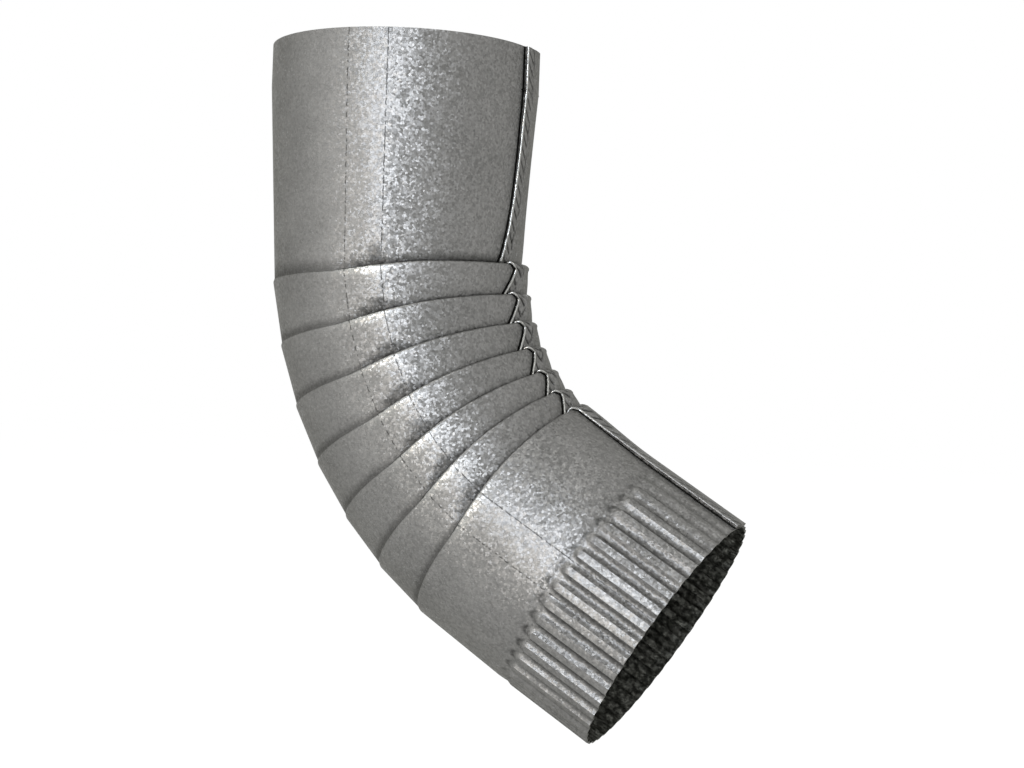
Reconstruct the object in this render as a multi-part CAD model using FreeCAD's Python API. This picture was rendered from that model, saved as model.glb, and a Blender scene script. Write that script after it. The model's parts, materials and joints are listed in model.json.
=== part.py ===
"""Round downspout elbow, pleated out of one piece of galvanised sheet steel.

The origin is the centre of the inlet mouth and +Z leaves the mouth upwards.  The elbow bends towards
+X in the XZ plane, so the throat (the inside of the bend) is on its +X side and the heel on its -X side.

The sheet is one wall with a round inlet, a row of pleats that turn it, and a crimped outlet.  At the
throat each pleat is a true fold: the wall runs down inside, turns back up on itself and turns down
again over a rolled lip, so the next segment laps outside the one above.  Round the heel the fold
opens out into a low bead.  The lock seam is a raised strip along the throat.
"""
import FreeCAD
import Part
import functools
import math
import os

Vector = FreeCAD.Vector

# Driving dimensions, in millimetres and degrees

# Sheet and lock seam
SHEET = 0.5
SEAM_WIDTH = 7.6
SEAM_HEIGHT = 1.0
SEAM_PRESSED = 0.4         # height of the strip through the pleats
SEAM_SPREAD = 9.0          # wall length beside the strip that bulges with it at a pleat

# Inlet, a plain socket for the pipe above
BORE_DIAMETER = 76.2
BORE_LENGTH = 12.0         # straight round mouth, below which the inlet narrows to the body
INLET_LENGTH = 66.3        # mouth to the first pleat, on the axis
BODY_DIAMETER = 72.2       # outside, at the pleats

# Pleats
PLEAT_COUNT = 7
PLEAT_ANGLE = 8.3          # turn of each pleat
PLEAT_PITCH = 13.0         # pleat to pleat, on the axis, halfway round the bend
PITCH_FALL = 0.37          # how much closer each pleat is than the one before
PLEAT_OVERLAP = 4.2        # depth of the fold at the throat
FOLD_CLEARANCE = 0.22      # between the inner layers of a fold
LIP_CLEARANCE = 0.42       # inside the rolled lip
LIP_LIFT = 1.7             # how much higher the lip sits where the fold is closed
LIP_STAND = 0.95           # how far the lip stands out of the body where the fold is closed
SEAM_STAND = 0.7           # how far the seam stands out of the lip line
HEEL_DRAW = 1.0            # how far the heel is drawn in halfway round the bend
HEEL_SLOPE = 25.0          # steepest slope of the bead round the heel
HEEL_RADIUS = 1.2          # bend radius of that bead
HEEL_STEP = 0.3            # straight stretch between its two bends

# Angles from the throat between which a fold opens out into the bead
ROLL_OPEN = 120.0
ROLL_CLOSED = 92.0
FOLD_OPEN = 100.0
FOLD_CLOSED = 72.0
OVERLAP_ENDS = 80.0

# Outlet, crimped to slip into the pipe below
OUTLET_LENGTH = 56.9       # last pleat to the rim, on the axis
OUTLET_DIAMETER = 73.5     # outside, where the crimps start
RIM_DIAMETER = 74.4        # over the crimp ridges, at the rim
CRIMP_LENGTH = 31.0
CRIMP_COUNT = 42
CRIMP_DEPTH = 1.0
CRIMP_RUN_IN = 5.0         # rounded start of a crimp
CRIMP_MARGIN = 3.0         # plain wall between the seam and the first crimp

# How finely the sheet is drawn
COLUMNS_PER_CRIMP = 6
BEND_STEPS = 5             # control rows in each bend of a fold
CRIMP_ROWS = 6
SEAM_COLUMNS = 4
WALL_ROUNDS = 8            # passes that settle the slopes of the walls

# Sizes that follow from these
WALL_RADIUS = BORE_DIAMETER / 2 + SHEET / 2          # middle of the sheet, at the mouth
BODY_RADIUS = BODY_DIAMETER / 2 - SHEET / 2          # the same, at the pleats
OUTLET_RADIUS = OUTLET_DIAMETER / 2 - SHEET / 2      # and where the crimps start
RIM_RADIUS = RIM_DIAMETER / 2 - SHEET / 2 - CRIMP_DEPTH / 2
TURN = math.radians(PLEAT_ANGLE)
SEAM_HALF = SEAM_WIDTH / 2 / WALL_RADIUS             # half of the strip, as an angle
SEAM_FADE = SEAM_SPREAD / WALL_RADIUS
CRIMP_START = SEAM_HALF + CRIMP_MARGIN / WALL_RADIUS  # angle from the throat to the first crimp
OUTER = SHEET / 2
INNER = -SHEET / 2
STRIP = SHEET / 2 + SEAM_HEIGHT
PRESSED = SHEET / 2 + SEAM_PRESSED


def smooth(value, start, end):
    """0 before start, 1 after end, and an S-curve between them (end may be the smaller)."""
    share = min(1.0, max(0.0, (value - start) / (end - start)))
    return share * share * (3 - 2 * share)


def blend(low, high, share):
    return low + (high - low) * share


def from_throat(angle):
    """Unsigned angle from the middle of the throat."""
    return abs(math.remainder(angle, 2 * math.pi))


def seam_share(angle):
    """1 on the seam strip, fading to 0 on the wall beside it."""
    return 1 - smooth(from_throat(angle), SEAM_HALF, SEAM_HALF + SEAM_FADE)


# Places in the bend: a point is given by its section, an angle round it, a radius and a drop

class Section:
    """A cross-section of the elbow: its centre, and how far the axis has turned there."""

    def __init__(self, centre, tilt):
        self.centre = centre
        self.throat = Vector(math.cos(tilt), 0, math.sin(tilt))
        self.along = Vector(math.sin(tilt), 0, -math.cos(tilt))

    def point(self, angle, radius, drop):
        outward = self.throat * math.cos(angle) + Vector(0, math.sin(angle), 0)
        return self.centre + outward * radius + self.along * drop


def pleat_section(index):
    """The plane of a pleat, which halves its turn."""
    centre = Vector(0, 0, -INLET_LENGTH)
    for step in range(1, index + 1):
        pitch = PLEAT_PITCH + PITCH_FALL * (PLEAT_COUNT / 2 - step)
        centre += Section(centre, step * TURN).along * pitch
    return Section(centre, (index + 0.5) * TURN)


def outlet_section():
    """The rim of the outlet."""
    tilt = PLEAT_COUNT * TURN
    last = Section(pleat_section(PLEAT_COUNT - 1).centre, tilt)
    return Section(last.point(0, 0, OUTLET_LENGTH), tilt)


# A pleat's fold, as a line in the plane of radius and drop

class Fold:
    """The fold of one pleat at one angle: a bend, a straight layer and a bend back.

    The slope is 0 where the wall runs straight along the pipe and pi where it runs back up.
    """

    def __init__(self, index, angle):
        self.section = pleat_section(index)
        self.angle = angle
        round_throat = from_throat(angle)
        degrees = math.degrees(round_throat)
        closed = smooth(degrees, FOLD_OPEN, FOLD_CLOSED)
        rolled = smooth(degrees, ROLL_OPEN, ROLL_CLOSED)
        on_seam = seam_share(angle)
        reach = math.cos(math.radians(OVERLAP_ENDS))
        depth = max(0.0, (math.cos(round_throat) - reach) / (1 - reach))
        self.swing = blend(math.radians(HEEL_SLOPE), math.pi, closed)
        self.inner_bend = blend(HEEL_RADIUS, (SHEET + FOLD_CLEARANCE) / 2, rolled) + SEAM_PRESSED * on_seam
        self.lip_bend = blend(HEEL_RADIUS, (SHEET + LIP_CLEARANCE) / 2, rolled)
        self.layer = HEEL_STEP + PLEAT_OVERLAP * depth
        halfway = 1 - (2 * index / (PLEAT_COUNT - 1) - 1) ** 2
        draw = HEEL_DRAW * halfway * (1 - closed)
        self.lip_radius = BODY_RADIUS + LIP_STAND * closed + SEAM_STAND * on_seam - draw
        self.lip_drop = -LIP_LIFT * closed
        self.lean(0, 0)

    def lean(self, above, below):
        """Set the slopes of the walls above and below; the fold hangs from its lip, which shows."""
        self.above = above
        self.below = below
        self.back = above + self.swing
        self.start_radius = 0
        self.start_drop = 0
        radius, drop, _ = self.lip(1)
        self.start_radius = self.lip_radius - radius
        self.start_drop = self.lip_drop - drop

    def entry(self, share):
        """Radius, drop and slope on the hidden layer that runs down behind the lip."""
        run = self.layer * (share - 1)
        radius = self.start_radius + run * math.sin(self.above)
        drop = self.start_drop + run * math.cos(self.above)
        return radius, drop, self.above

    def inner(self, share):
        """Radius, drop and slope on the inner bend, which turns the wall back up."""
        slope = blend(self.above, self.back, share)
        radius = self.start_radius + self.inner_bend * (math.cos(self.above) - math.cos(slope))
        drop = self.start_drop + self.inner_bend * (math.sin(slope) - math.sin(self.above))
        return radius, drop, slope

    def middle(self, share):
        """Radius, drop and slope on the straight layer between the bends."""
        radius, drop, slope = self.inner(1)
        radius += self.layer * share * math.sin(slope)
        drop += self.layer * share * math.cos(slope)
        return radius, drop, slope

    def lip(self, share):
        """Radius, drop and slope on the rolled lip, which turns the wall down again."""
        radius, drop, back = self.middle(1)
        slope = blend(back, self.below, share)
        radius += self.lip_bend * (math.cos(slope) - math.cos(back))
        drop += self.lip_bend * (math.sin(back) - math.sin(slope))
        return radius, drop, slope

    def place(self, stretch, share, off=0):
        """The point at a share of one stretch of the fold, off the middle of the sheet."""
        radius, drop, slope = stretch(self, share)
        return self.section.point(self.angle, radius + off * math.cos(slope), drop - off * math.sin(slope))

    def slope_of(self, run):
        """The slope of a straight wall, as this fold sees it."""
        outward = self.section.point(self.angle, 1, 0) - self.section.centre
        return math.atan2(run.dot(outward), run.dot(self.section.along))


@functools.lru_cache(maxsize=None)
def folds_at(angle):
    """The folds at one angle, turned until the straight walls below them run into them smoothly.

    The first fold takes its hidden layer's slope from the second, so the inlet bends in behind its lip.
    """
    folds = [Fold(index, angle) for index in range(PLEAT_COUNT)]
    outlet = crimp_row(0)(angle, 0)
    for _ in range(WALL_ROUNDS):
        tops = [fold.place(Fold.lip, 1) for fold in folds]
        feet = [fold.place(Fold.inner, 0) for fold in folds[1:]] + [outlet]
        walls = [foot - top for top, foot in zip(tops, feet)]
        below = [fold.slope_of(wall) for fold, wall in zip(folds, walls)]
        above = [fold.slope_of(wall) for fold, wall in zip(folds[1:], walls)]
        for fold, slope_above, slope_below in zip(folds, above[:1] + above, below):
            fold.lean(slope_above, slope_below)
    return folds


# Rows of the sheet, from the mouth to the rim: a row gives a point for an angle and a distance
# from the middle of the sheet, positive outwards

def mouth_row(drop):
    section = Section(Vector(0, 0, 0), 0)

    def row(angle, off):
        return section.point(angle, WALL_RADIUS + off, drop)
    return row


def fold_row(index, stretch, share):
    """A row of a fold, where the seam strip is pressed flatter."""
    def row(angle, off):
        return folds_at(angle)[index].place(stretch, share, min(off, PRESSED))
    return row


def between_row(above, below, share):
    """A row of the straight wall between two rows."""
    def row(angle, off):
        top = above(angle, off)
        return top + (below(angle, off) - top) * share
    return row


def crimp_wave(angle):
    """Height of the crimp ridges round the outlet, from -1 to 1, with plain wall beside the seam."""
    pitch = 2 * (math.pi - CRIMP_START) / CRIMP_COUNT
    clear = smooth(from_throat(angle), CRIMP_START, CRIMP_START + pitch / 2)
    return -math.cos(2 * math.pi * (angle - CRIMP_START) / pitch) * clear


def crimp_row(share):
    """A row of the crimped end; its control points overshoot the ridges, which the curve then meets."""
    section = outlet_section()
    drop = (share - 1) * CRIMP_LENGTH
    depth = CRIMP_DEPTH / 2 * smooth(share * CRIMP_LENGTH, 0, CRIMP_RUN_IN)
    overshoot = 3 / (2 + math.cos(2 * math.pi / COLUMNS_PER_CRIMP))
    radius = blend(OUTLET_RADIUS, RIM_RADIUS, smooth(share, 0, 1))

    def row(angle, off):
        return section.point(angle, radius + depth * overshoot * crimp_wave(angle) + off, drop)
    return row


def sheet_bands():
    """Bands of rows down the sheet; each band starts with the last row of the one before."""
    steps = [step / BEND_STEPS for step in range(BEND_STEPS + 1)]
    folds = []
    for index in range(PLEAT_COUNT):
        rows = [fold_row(index, Fold.entry, share) for share in (0, 1 / 2)]
        rows += [fold_row(index, Fold.inner, share) for share in steps]
        rows += [fold_row(index, Fold.middle, share) for share in (1 / 3, 2 / 3)]
        rows += [fold_row(index, Fold.lip, share) for share in steps]
        folds.append(rows)
    crimps = [crimp_row(step / CRIMP_ROWS) for step in range(CRIMP_ROWS + 1)]

    tops = [mouth_row(BORE_LENGTH)]
    tops += [between_row(above[-1], below[0], 0.5) for above, below in zip(folds, folds[1:])]
    ends = tops[1:] + [crimps[0]]
    bands = []
    for top, rows, end in zip(tops, folds, ends):
        bands.append([top, between_row(top, rows[0], 0.5)] + rows + [between_row(rows[-1], end, 0.5), end])
    bands.append(crimps)
    return bands


# Faces: each is a cubic surface over its control rows, so neighbours that share a row share its edge

def spread(start, end, count):
    return [blend(start, end, step / count) for step in range(count + 1)]


def knots(count, degree):
    inner = count - degree - 1
    return [degree + 1] + [1] * inner + [degree + 1], list(range(inner + 2))


def surface(poles):
    degrees = [min(3, len(poles) - 1), min(3, len(poles[0]) - 1)]
    (row_mults, row_knots), (mults, values) = [
        knots(count, degree) for count, degree in zip((len(poles), len(poles[0])), degrees)]
    net = Part.BSplineSurface()
    net.buildFromPolesMultsKnots(poles, row_mults, mults, row_knots, values, False, False, *degrees)
    return net.toShape()


def net_face(rows, angles, off):
    return surface([[row(angle, off) for angle in angles] for row in rows])


def edge_face(rows, angle):
    """The side of the seam strip."""
    return surface([[row(angle, OUTER), row(angle, STRIP)] for row in rows])


CRIMP_ANGLES = spread(CRIMP_START, 2 * math.pi - CRIMP_START, COLUMNS_PER_CRIMP * CRIMP_COUNT)
HEEL_COLUMN = COLUMNS_PER_CRIMP * CRIMP_COUNT // 2
SEAM_ANGLES = spread(-SEAM_HALF, SEAM_HALF, SEAM_COLUMNS)


def halves(start):
    """Angles of the two halves of the wall, which meet at the heel, from a start beside the throat."""
    turn = 2 * math.pi
    near = spread(start, CRIMP_START, SEAM_COLUMNS)[:-1] + CRIMP_ANGLES[:HEEL_COLUMN]
    far = CRIMP_ANGLES[HEEL_COLUMN + 1:] + spread(turn - CRIMP_START, turn - start, SEAM_COLUMNS)[1:]
    return [near + [math.pi], [math.pi] + far]


WALL_HALVES = halves(SEAM_HALF)
LINING_HALVES = halves(0)


def outside(rows):
    """The outer faces of a band: the two halves of the wall, the seam strip and the strip's two sides."""
    walls = [net_face(rows, angles, OUTER) for angles in WALL_HALVES]
    strip = net_face(rows, SEAM_ANGLES, STRIP)
    return walls + [strip, edge_face(rows, -SEAM_HALF), edge_face(rows, SEAM_HALF)]


def edge(row, angles, off):
    """The edge that a face has along one of its end rows."""
    poles = [row(angle, off) for angle in angles]
    degree = min(3, len(poles) - 1)
    line = Part.BSplineCurve()
    line.buildFromPolesMultsKnots(poles, *knots(len(poles), degree), False, degree)
    return line.toShape()


def outer_edges(row):
    sides = [Part.makeLine(row(angle, OUTER), row(angle, STRIP)) for angle in (-SEAM_HALF, SEAM_HALF)]
    walls = [edge(row, angles, OUTER) for angles in WALL_HALVES]
    return walls + [edge(row, SEAM_ANGLES, STRIP)] + sides


def cut_face(outer, inner):
    """The flat cut edge of the sheet at one end."""
    wires = [Part.Wire(Part.__sortEdges__(edges)) for edges in (outer, inner)]
    return Part.makeFace(wires, "Part::FaceMakerBullseye")


def bore_faces():
    """The round wall inside the mouth, in two halves that meet at the throat and the heel."""
    wall = Part.makeCylinder(BORE_DIAMETER / 2, BORE_LENGTH, Vector(0, 0, -BORE_LENGTH), Vector(0, 0, 1), 180)
    near = next(face for face in wall.Faces if face.Surface.TypeId == "Part::GeomCylinder")
    far = near.rotated(Vector(0, 0, 0), Vector(0, 0, 1), 180)
    return [near, far]


def bore_edges(height):
    """The two half circles of the bore at one height."""
    circle = (BORE_DIAMETER / 2, Vector(0, 0, height), Vector(0, 0, 1))
    return [Part.makeCircle(*circle, start, start + 180) for start in (0, 180)]


def elbow():
    bands = sheet_bands()
    mouth = mouth_row(0)
    straight = [mouth, mouth_row(BORE_LENGTH)]
    faces = outside(straight)
    for rows in bands:
        faces += outside(rows)
    neck = bands[0][1]
    for rows in [bands[0][1:]] + bands[1:]:
        faces += [net_face(rows, angles, INNER) for angles in LINING_HALVES]
    faces += bore_faces()
    for half, angles in zip(bore_edges(-BORE_LENGTH), LINING_HALVES):
        faces.append(Part.makeRuledSurface(half, edge(neck, angles, INNER)))
    faces.append(cut_face(outer_edges(mouth), bore_edges(0)))
    rim = bands[-1][-1]
    faces.append(cut_face(outer_edges(rim), [edge(rim, angles, INNER) for angles in LINING_HALVES]))

    skin = Part.makeCompound(faces)
    skin.sewShape()
    solid = Part.Solid(skin.Shells[0])
    if solid.Volume < 0:
        solid.reverse()
    return solid


os.makedirs("parts", exist_ok=True)
body = elbow()
print("valid", body.isValid(), "volume", round(body.Volume, 1), "faces", len(body.Faces))
body.exportStep("parts/pleated_elbow.step")
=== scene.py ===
"""Round pleated downspout elbow of galvanised sheet steel, dressed on its fixed frame.

Sizes are in millimetres in the pieces' classes and become metres where a mesh is made; the stage is in
metres.  The origin is the centre of the inlet mouth, +Z leaves the mouth and the elbow bends towards +X, so
the throat is on its +X side.
"""
import json
import logging
import math
from dataclasses import dataclass, field, fields
from enum import Enum, auto
from typing import Any

import bpy
import numpy as np
from mathutils import Matrix, Vector


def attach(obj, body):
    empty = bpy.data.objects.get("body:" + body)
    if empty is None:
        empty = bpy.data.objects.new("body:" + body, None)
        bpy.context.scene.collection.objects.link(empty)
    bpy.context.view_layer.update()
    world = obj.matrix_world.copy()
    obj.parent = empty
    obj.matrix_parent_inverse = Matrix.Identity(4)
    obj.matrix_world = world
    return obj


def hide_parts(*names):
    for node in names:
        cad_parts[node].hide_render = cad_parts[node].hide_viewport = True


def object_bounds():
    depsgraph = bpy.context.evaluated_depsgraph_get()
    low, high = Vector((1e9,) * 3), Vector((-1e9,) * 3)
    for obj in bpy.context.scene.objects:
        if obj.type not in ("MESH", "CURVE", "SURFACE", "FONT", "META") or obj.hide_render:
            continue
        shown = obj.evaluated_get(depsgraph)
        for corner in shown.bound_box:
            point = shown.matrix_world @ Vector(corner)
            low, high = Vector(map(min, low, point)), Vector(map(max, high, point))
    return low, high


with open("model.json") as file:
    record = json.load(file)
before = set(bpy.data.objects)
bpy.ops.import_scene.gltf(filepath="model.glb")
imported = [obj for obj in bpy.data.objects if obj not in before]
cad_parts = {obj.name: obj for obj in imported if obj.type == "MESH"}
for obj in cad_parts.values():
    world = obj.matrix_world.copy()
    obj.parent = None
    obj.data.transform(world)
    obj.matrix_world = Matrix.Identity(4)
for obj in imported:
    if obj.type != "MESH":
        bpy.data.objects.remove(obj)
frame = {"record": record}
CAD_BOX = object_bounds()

LOG = logging.getLogger("downspout_elbow")
Array = np.ndarray

MM = 0.001
BODY = "root"
NODE = "pleated_elbow"
MARKS = ("painted_shade", "lining", "polish_and_painted_highlight", "round", "run")  # values at the points, which the finish reads; among them are painted shade and a painted highlight


# Small helpers

def smooth(value: Array | float, start: float, end: float) -> Array:
    """S-curve from 0 at start to 1 at end: 3 s squared less 2 s cubed of the clipped share s.

    Args:
        value: What is measured.
        start: Where the curve leaves 0.
        end: Where it reaches 1; it may be the smaller.

    Returns:
        The share, as an array.
    """
    share = np.clip((np.asarray(value, dtype=float) - start) / (end - start), 0.0, 1.0)
    return share * share * (3 - 2 * share)


def bump(value: Array | float, centre: float, width: float) -> Array:
    """Bell curve of height 1 about a centre: e to the minus square of the distance over the width."""
    return np.exp(-((np.asarray(value, dtype=float) - centre) / width) ** 2)


def linear(colour: str) -> tuple[float, float, float, float]:
    """Turns an sRGB hex colour into linear RGBA.

    Args:
        colour: Six hex digits after a hash sign.

    Returns:
        Red, green and blue as linear light, and an alpha of 1.
    """
    parts = [int(colour[place:place + 2], 16) / 255 for place in (1, 3, 5)]
    light = [part / 12.92 if part <= 0.04045 else ((part + 0.055) / 1.055) ** 2.4 for part in parts]
    return (*light, 1.0)


def add_node(tree: bpy.types.NodeTree, kind: str, inputs: dict[Any, Any] | None = None,
             **settings: Any) -> bpy.types.Node:
    """Adds one node to a tree, with its settings, values and links.

    Args:
        tree: The node tree.
        kind: Blender's name for the kind of node.
        inputs: What each input socket gets, by name or number: another node's output, or a value.
        settings: The node's own properties.

    Returns:
        The new node.
    """
    made = tree.nodes.new(kind)
    for name, value in settings.items():
        setattr(made, name, value)
    for name, value in (inputs or {}).items():
        if isinstance(value, bpy.types.NodeSocket):
            tree.links.new(value, made.inputs[name])
        else:
            made.inputs[name].default_value = value
    return made


def grid_faces(rows: int, columns: int, first: int = 0) -> Array:
    """Quads of a grid that closes on itself across its columns.

    Corner (row, column) joins (row + 1, column), (row + 1, column + 1) and (row, column + 1).

    Args:
        rows: Rows of points.
        columns: Points in each row.
        first: Number of the first point.

    Returns:
        An array of quads, four point numbers each.
    """
    row, column = np.meshgrid(np.arange(rows - 1), np.arange(columns), indexing="ij")
    here = first + row * columns
    beside = (column + 1) % columns
    below = here + columns
    quads = np.stack([here + column, below + column, below + beside, here + beside], axis=-1)
    return quads.reshape(-1, 4)


def make_piece(name: str, points: Array, faces: list[list[int]], marks: dict[str, Array],
               material: bpy.types.Material, sharp: float) -> bpy.types.Object:
    """Makes one closed mesh piece that rides on the elbow's body.

    Args:
        name: The piece's name.
        points: Points in millimetres.
        faces: Point numbers of each face, outward.
        marks: Values kept at the points for the finish, by attribute name; those left out are 0.
        material: The finish.
        sharp: Angle, in degrees, past which an edge stays sharp.

    Returns:
        The new object, at the origin.
    """
    mesh = bpy.data.meshes.new(name)
    mesh.from_pydata((points * MM).tolist(), [], faces)
    for mark in MARKS:
        values = marks.get(mark, np.zeros(len(points))).astype(np.float32)
        mesh.attributes.new(mark, "FLOAT", "POINT").data.foreach_set("value", values.ravel())
    mesh.polygons.foreach_set("use_smooth", np.ones(len(mesh.polygons), dtype=bool))
    mesh.set_sharp_from_angle(angle=math.radians(sharp))
    mesh.materials.append(material)
    mesh.update()
    piece = bpy.data.objects.new(name, mesh)
    bpy.context.scene.collection.objects.link(piece)
    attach(piece, BODY)
    return piece


# The sheet's path through the pleats

class Stretch(Enum):
    """A stretch of a pleat's fold, in the order in which the sheet runs through it."""

    ENTRY = auto()
    INNER = auto()
    MIDDLE = auto()
    LIP = auto()


@dataclass
class RowPlan:
    """How many rows each stretch of the sheet is drawn with.

    Of the crimps' rows the share tips lies in tip_band, where the ridges start, and of the others the share
    before_tips lies before it.
    """

    mouth: int = 2
    neck: int = 14
    entry: int = 1
    bend: int = 3
    middle: int = 1
    lip: int = 8
    wall: int = 7
    outlet: int = 10
    crimp: int = 26
    tips: float = 0.6
    before_tips: float = 0.3
    tip_band: tuple[float, float] = (0.06, 0.25)

    def crimp_shares(self) -> Array:
        """Where the crimps' rows lie, on straight lines between the ends of the band of the tips.

        Returns:
            Shares of the way down the crimps, from 0 to 1.
        """
        before = self.before_tips * (1 - self.tips)
        rows = [0.0, before, before + self.tips, 1.0]
        return np.interp(np.linspace(0, 1, self.crimp + 1), rows, [0.0, *self.tip_band, 1.0])


@dataclass
class Rows:
    """Rows of the middle of the sheet, from the mouth down; each array is rows by columns.

    Fields:
        middle: Points, in millimetres.
        normal: What one millimetre off the sheet adds to a point.
        to_fold: Millimetres down the wall to the next fold, 0 inside one and far where there is none.
        from_lip: Millimetres below the lip's end, negative on the lip and far where there is none.
        share: Share of the way down a visible stretch, 1 inside a fold.
        seam: Height of the seam strip, in millimetres.
        part: Number of the visible stretch between two folds, or -1 where a fold hides the sheet.
    """

    middle: Array
    normal: Array
    to_fold: Array
    from_lip: Array
    share: Array
    seam: Array
    part: Array

    @staticmethod
    def even(middle: Array, normal: Array, to_fold: float, from_lip: float, share: float, seam: float,
             part: int) -> "Rows":
        """Rows that have the same values all over."""
        values = (np.full(middle.shape[:2], value) for value in (to_fold, from_lip, share, seam, part))
        return Rows(middle, np.broadcast_to(normal, middle.shape), *values)

    def sampled(self, angles: Array, wanted: Array) -> "Rows":
        """The same rows at other angles, on straight lines between the columns.

        Args:
            angles: Evenly spaced angles of these columns.
            wanted: Angles for each row of the new columns.

        Returns:
            The rows at those angles.
        """
        last = len(angles) - 1.001  # just short of the last column, so that each place has a next one
        place = np.clip((wanted - angles[0]) / (angles[1] - angles[0]), 0, last)
        left = place.astype(int)
        share = place - left
        made = []
        for item in fields(Rows):
            values = getattr(self, item.name)
            flat = values.ndim == 2
            index, part = (left, share) if flat else (left[..., None], share[..., None])
            low = np.take_along_axis(values, index, axis=1)
            high = np.take_along_axis(values, index + 1, axis=1)
            made.append(np.where(low == high, low, low * (1 - part) + high * part))
        return Rows(*made)

    @staticmethod
    def joined(blocks: list["Rows"]) -> "Rows":
        """One set of rows out of several, in order."""
        names = [item.name for item in fields(Rows)]
        return Rows(*(np.concatenate([getattr(block, name) for block in blocks]) for name in names))

    def off(self, distance: Array | float) -> Array:
        """Points at a distance from the middle of the sheet, in millimetres."""
        return self.middle + self.normal * np.broadcast_to(distance, self.middle.shape[:2])[..., None]

    def run(self) -> Array:
        """Millimetres run along the sheet from the mouth, by adding up the steps from row to row."""
        steps = np.linalg.norm(np.diff(self.middle, axis=0), axis=-1)
        return np.concatenate([np.zeros((1, steps.shape[1])), np.cumsum(steps, axis=0)])


@dataclass
class Folds:
    """Every pleat's fold at every column, as a line of radius and drop in the pleat's plane.

    The sheet bends in at the inner bend, runs back up a straight layer and bends down over the lip.
    Its slope is 0 where it runs down the pipe and pi where it runs back up.

    Fields:
        centre, along, outward: Each pleat's plane: its middle, the axis there and the ways away from it.
        swing: How far the sheet turns in the inner bend, in radians.
        inner_bend, lip_bend: Radii of the two bends, in millimetres.
        layer: Length of the straight layer between them, in millimetres.
        lip_radius, lip_drop: Where the lip ends, in millimetres.
        above, below: Slopes of the walls that run into the fold and out of it.
    """

    centre: Array
    along: Array
    outward: Array
    swing: Array
    inner_bend: Array
    lip_bend: Array
    layer: Array
    lip_radius: Array
    lip_drop: Array
    above: Array
    below: Array

    @staticmethod
    def bend(radius: Array, first: Array, last: Array) -> Array:
        """Way through a bend: radius times cos first - cos last outwards and sin last - sin first down."""
        return radius * np.stack([np.cos(first) - np.cos(last), np.sin(last) - np.sin(first)])

    @staticmethod
    def straight(length: Array, slope: Array) -> Array:
        """Way along a straight layer: length sin slope outwards and length cos slope down."""
        return length * np.stack([np.sin(slope), np.cos(slope)])

    def line(self, stretch: Stretch, shares: Array) -> tuple[Array, Array, Array]:
        """Radius, drop and slope along one stretch.

        The ways through the stretches add up, and the lip bends the other way, so its way is taken off.  The
        fold hangs from the end of its lip.

        Args:
            stretch: Which stretch.
            shares: How far along it, from 0 to 1.

        Returns:
            Three arrays of shares by pleats by columns.
        """
        share = np.asarray(shares, dtype=float)[:, None, None]
        above, below = self.above, self.below
        back = above + self.swing
        foot = self.bend(self.inner_bend, above, back)
        top = foot + self.straight(self.layer, back)
        end = top - self.bend(self.lip_bend, back, below)
        if stretch is Stretch.ENTRY:
            slope = above + 0 * share
            way = self.straight(self.layer * (share - 1), slope)
        elif stretch is Stretch.INNER:
            slope = above + self.swing * share
            way = self.bend(self.inner_bend, above, slope)
        elif stretch is Stretch.MIDDLE:
            slope = back + 0 * share
            way = foot[:, None] + self.straight(self.layer * share, slope)
        else:
            slope = back + (below - back) * share
            way = top[:, None] - self.bend(self.lip_bend, back, slope)
        radius, drop = way - end[:, None]
        return radius + self.lip_radius, drop + self.lip_drop, slope

    def place(self, stretch: Stretch, shares: Array) -> tuple[Array, Array]:
        """Points on one stretch, and what a millimetre off the sheet adds to them.

        A point is centre + radius outward + drop along, and off the sheet is cos slope outward less
        sin slope along.

        Args:
            stretch: Which stretch.
            shares: How far along it, from 0 to 1.

        Returns:
            Two arrays of shares by pleats by columns by three.
        """
        radius, drop, slope = (part[..., None] for part in self.line(stretch, shares))
        along = self.along[:, None]
        middle = self.centre[:, None] + radius * self.outward + drop * along
        return middle, np.cos(slope) * self.outward - np.sin(slope) * along

    def slope_of(self, pleats: slice, walls: Array) -> Array:
        """Slope of straight walls as some of the folds see them."""
        outward = np.sum(walls * self.outward[pleats], axis=-1)
        return np.arctan2(outward, np.sum(walls * self.along[pleats][:, None], axis=-1))

    def settle(self, outlet: Array, rounds: int) -> None:
        """Turns the folds until the straight walls run into them smoothly.

        Args:
            outlet: Points where the last wall ends.
            rounds: How many passes are made.
        """
        for _ in range(rounds):
            tops = self.place(Stretch.LIP, [1.0])[0][0]
            feet = np.concatenate([self.place(Stretch.INNER, [0.0])[0][0, 1:], outlet[None]])
            walls = feet - tops
            lower = self.slope_of(slice(1, None), walls[:-1])
            self.below = self.slope_of(slice(None), walls)
            self.above = np.concatenate([lower[:1], lower])


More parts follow.
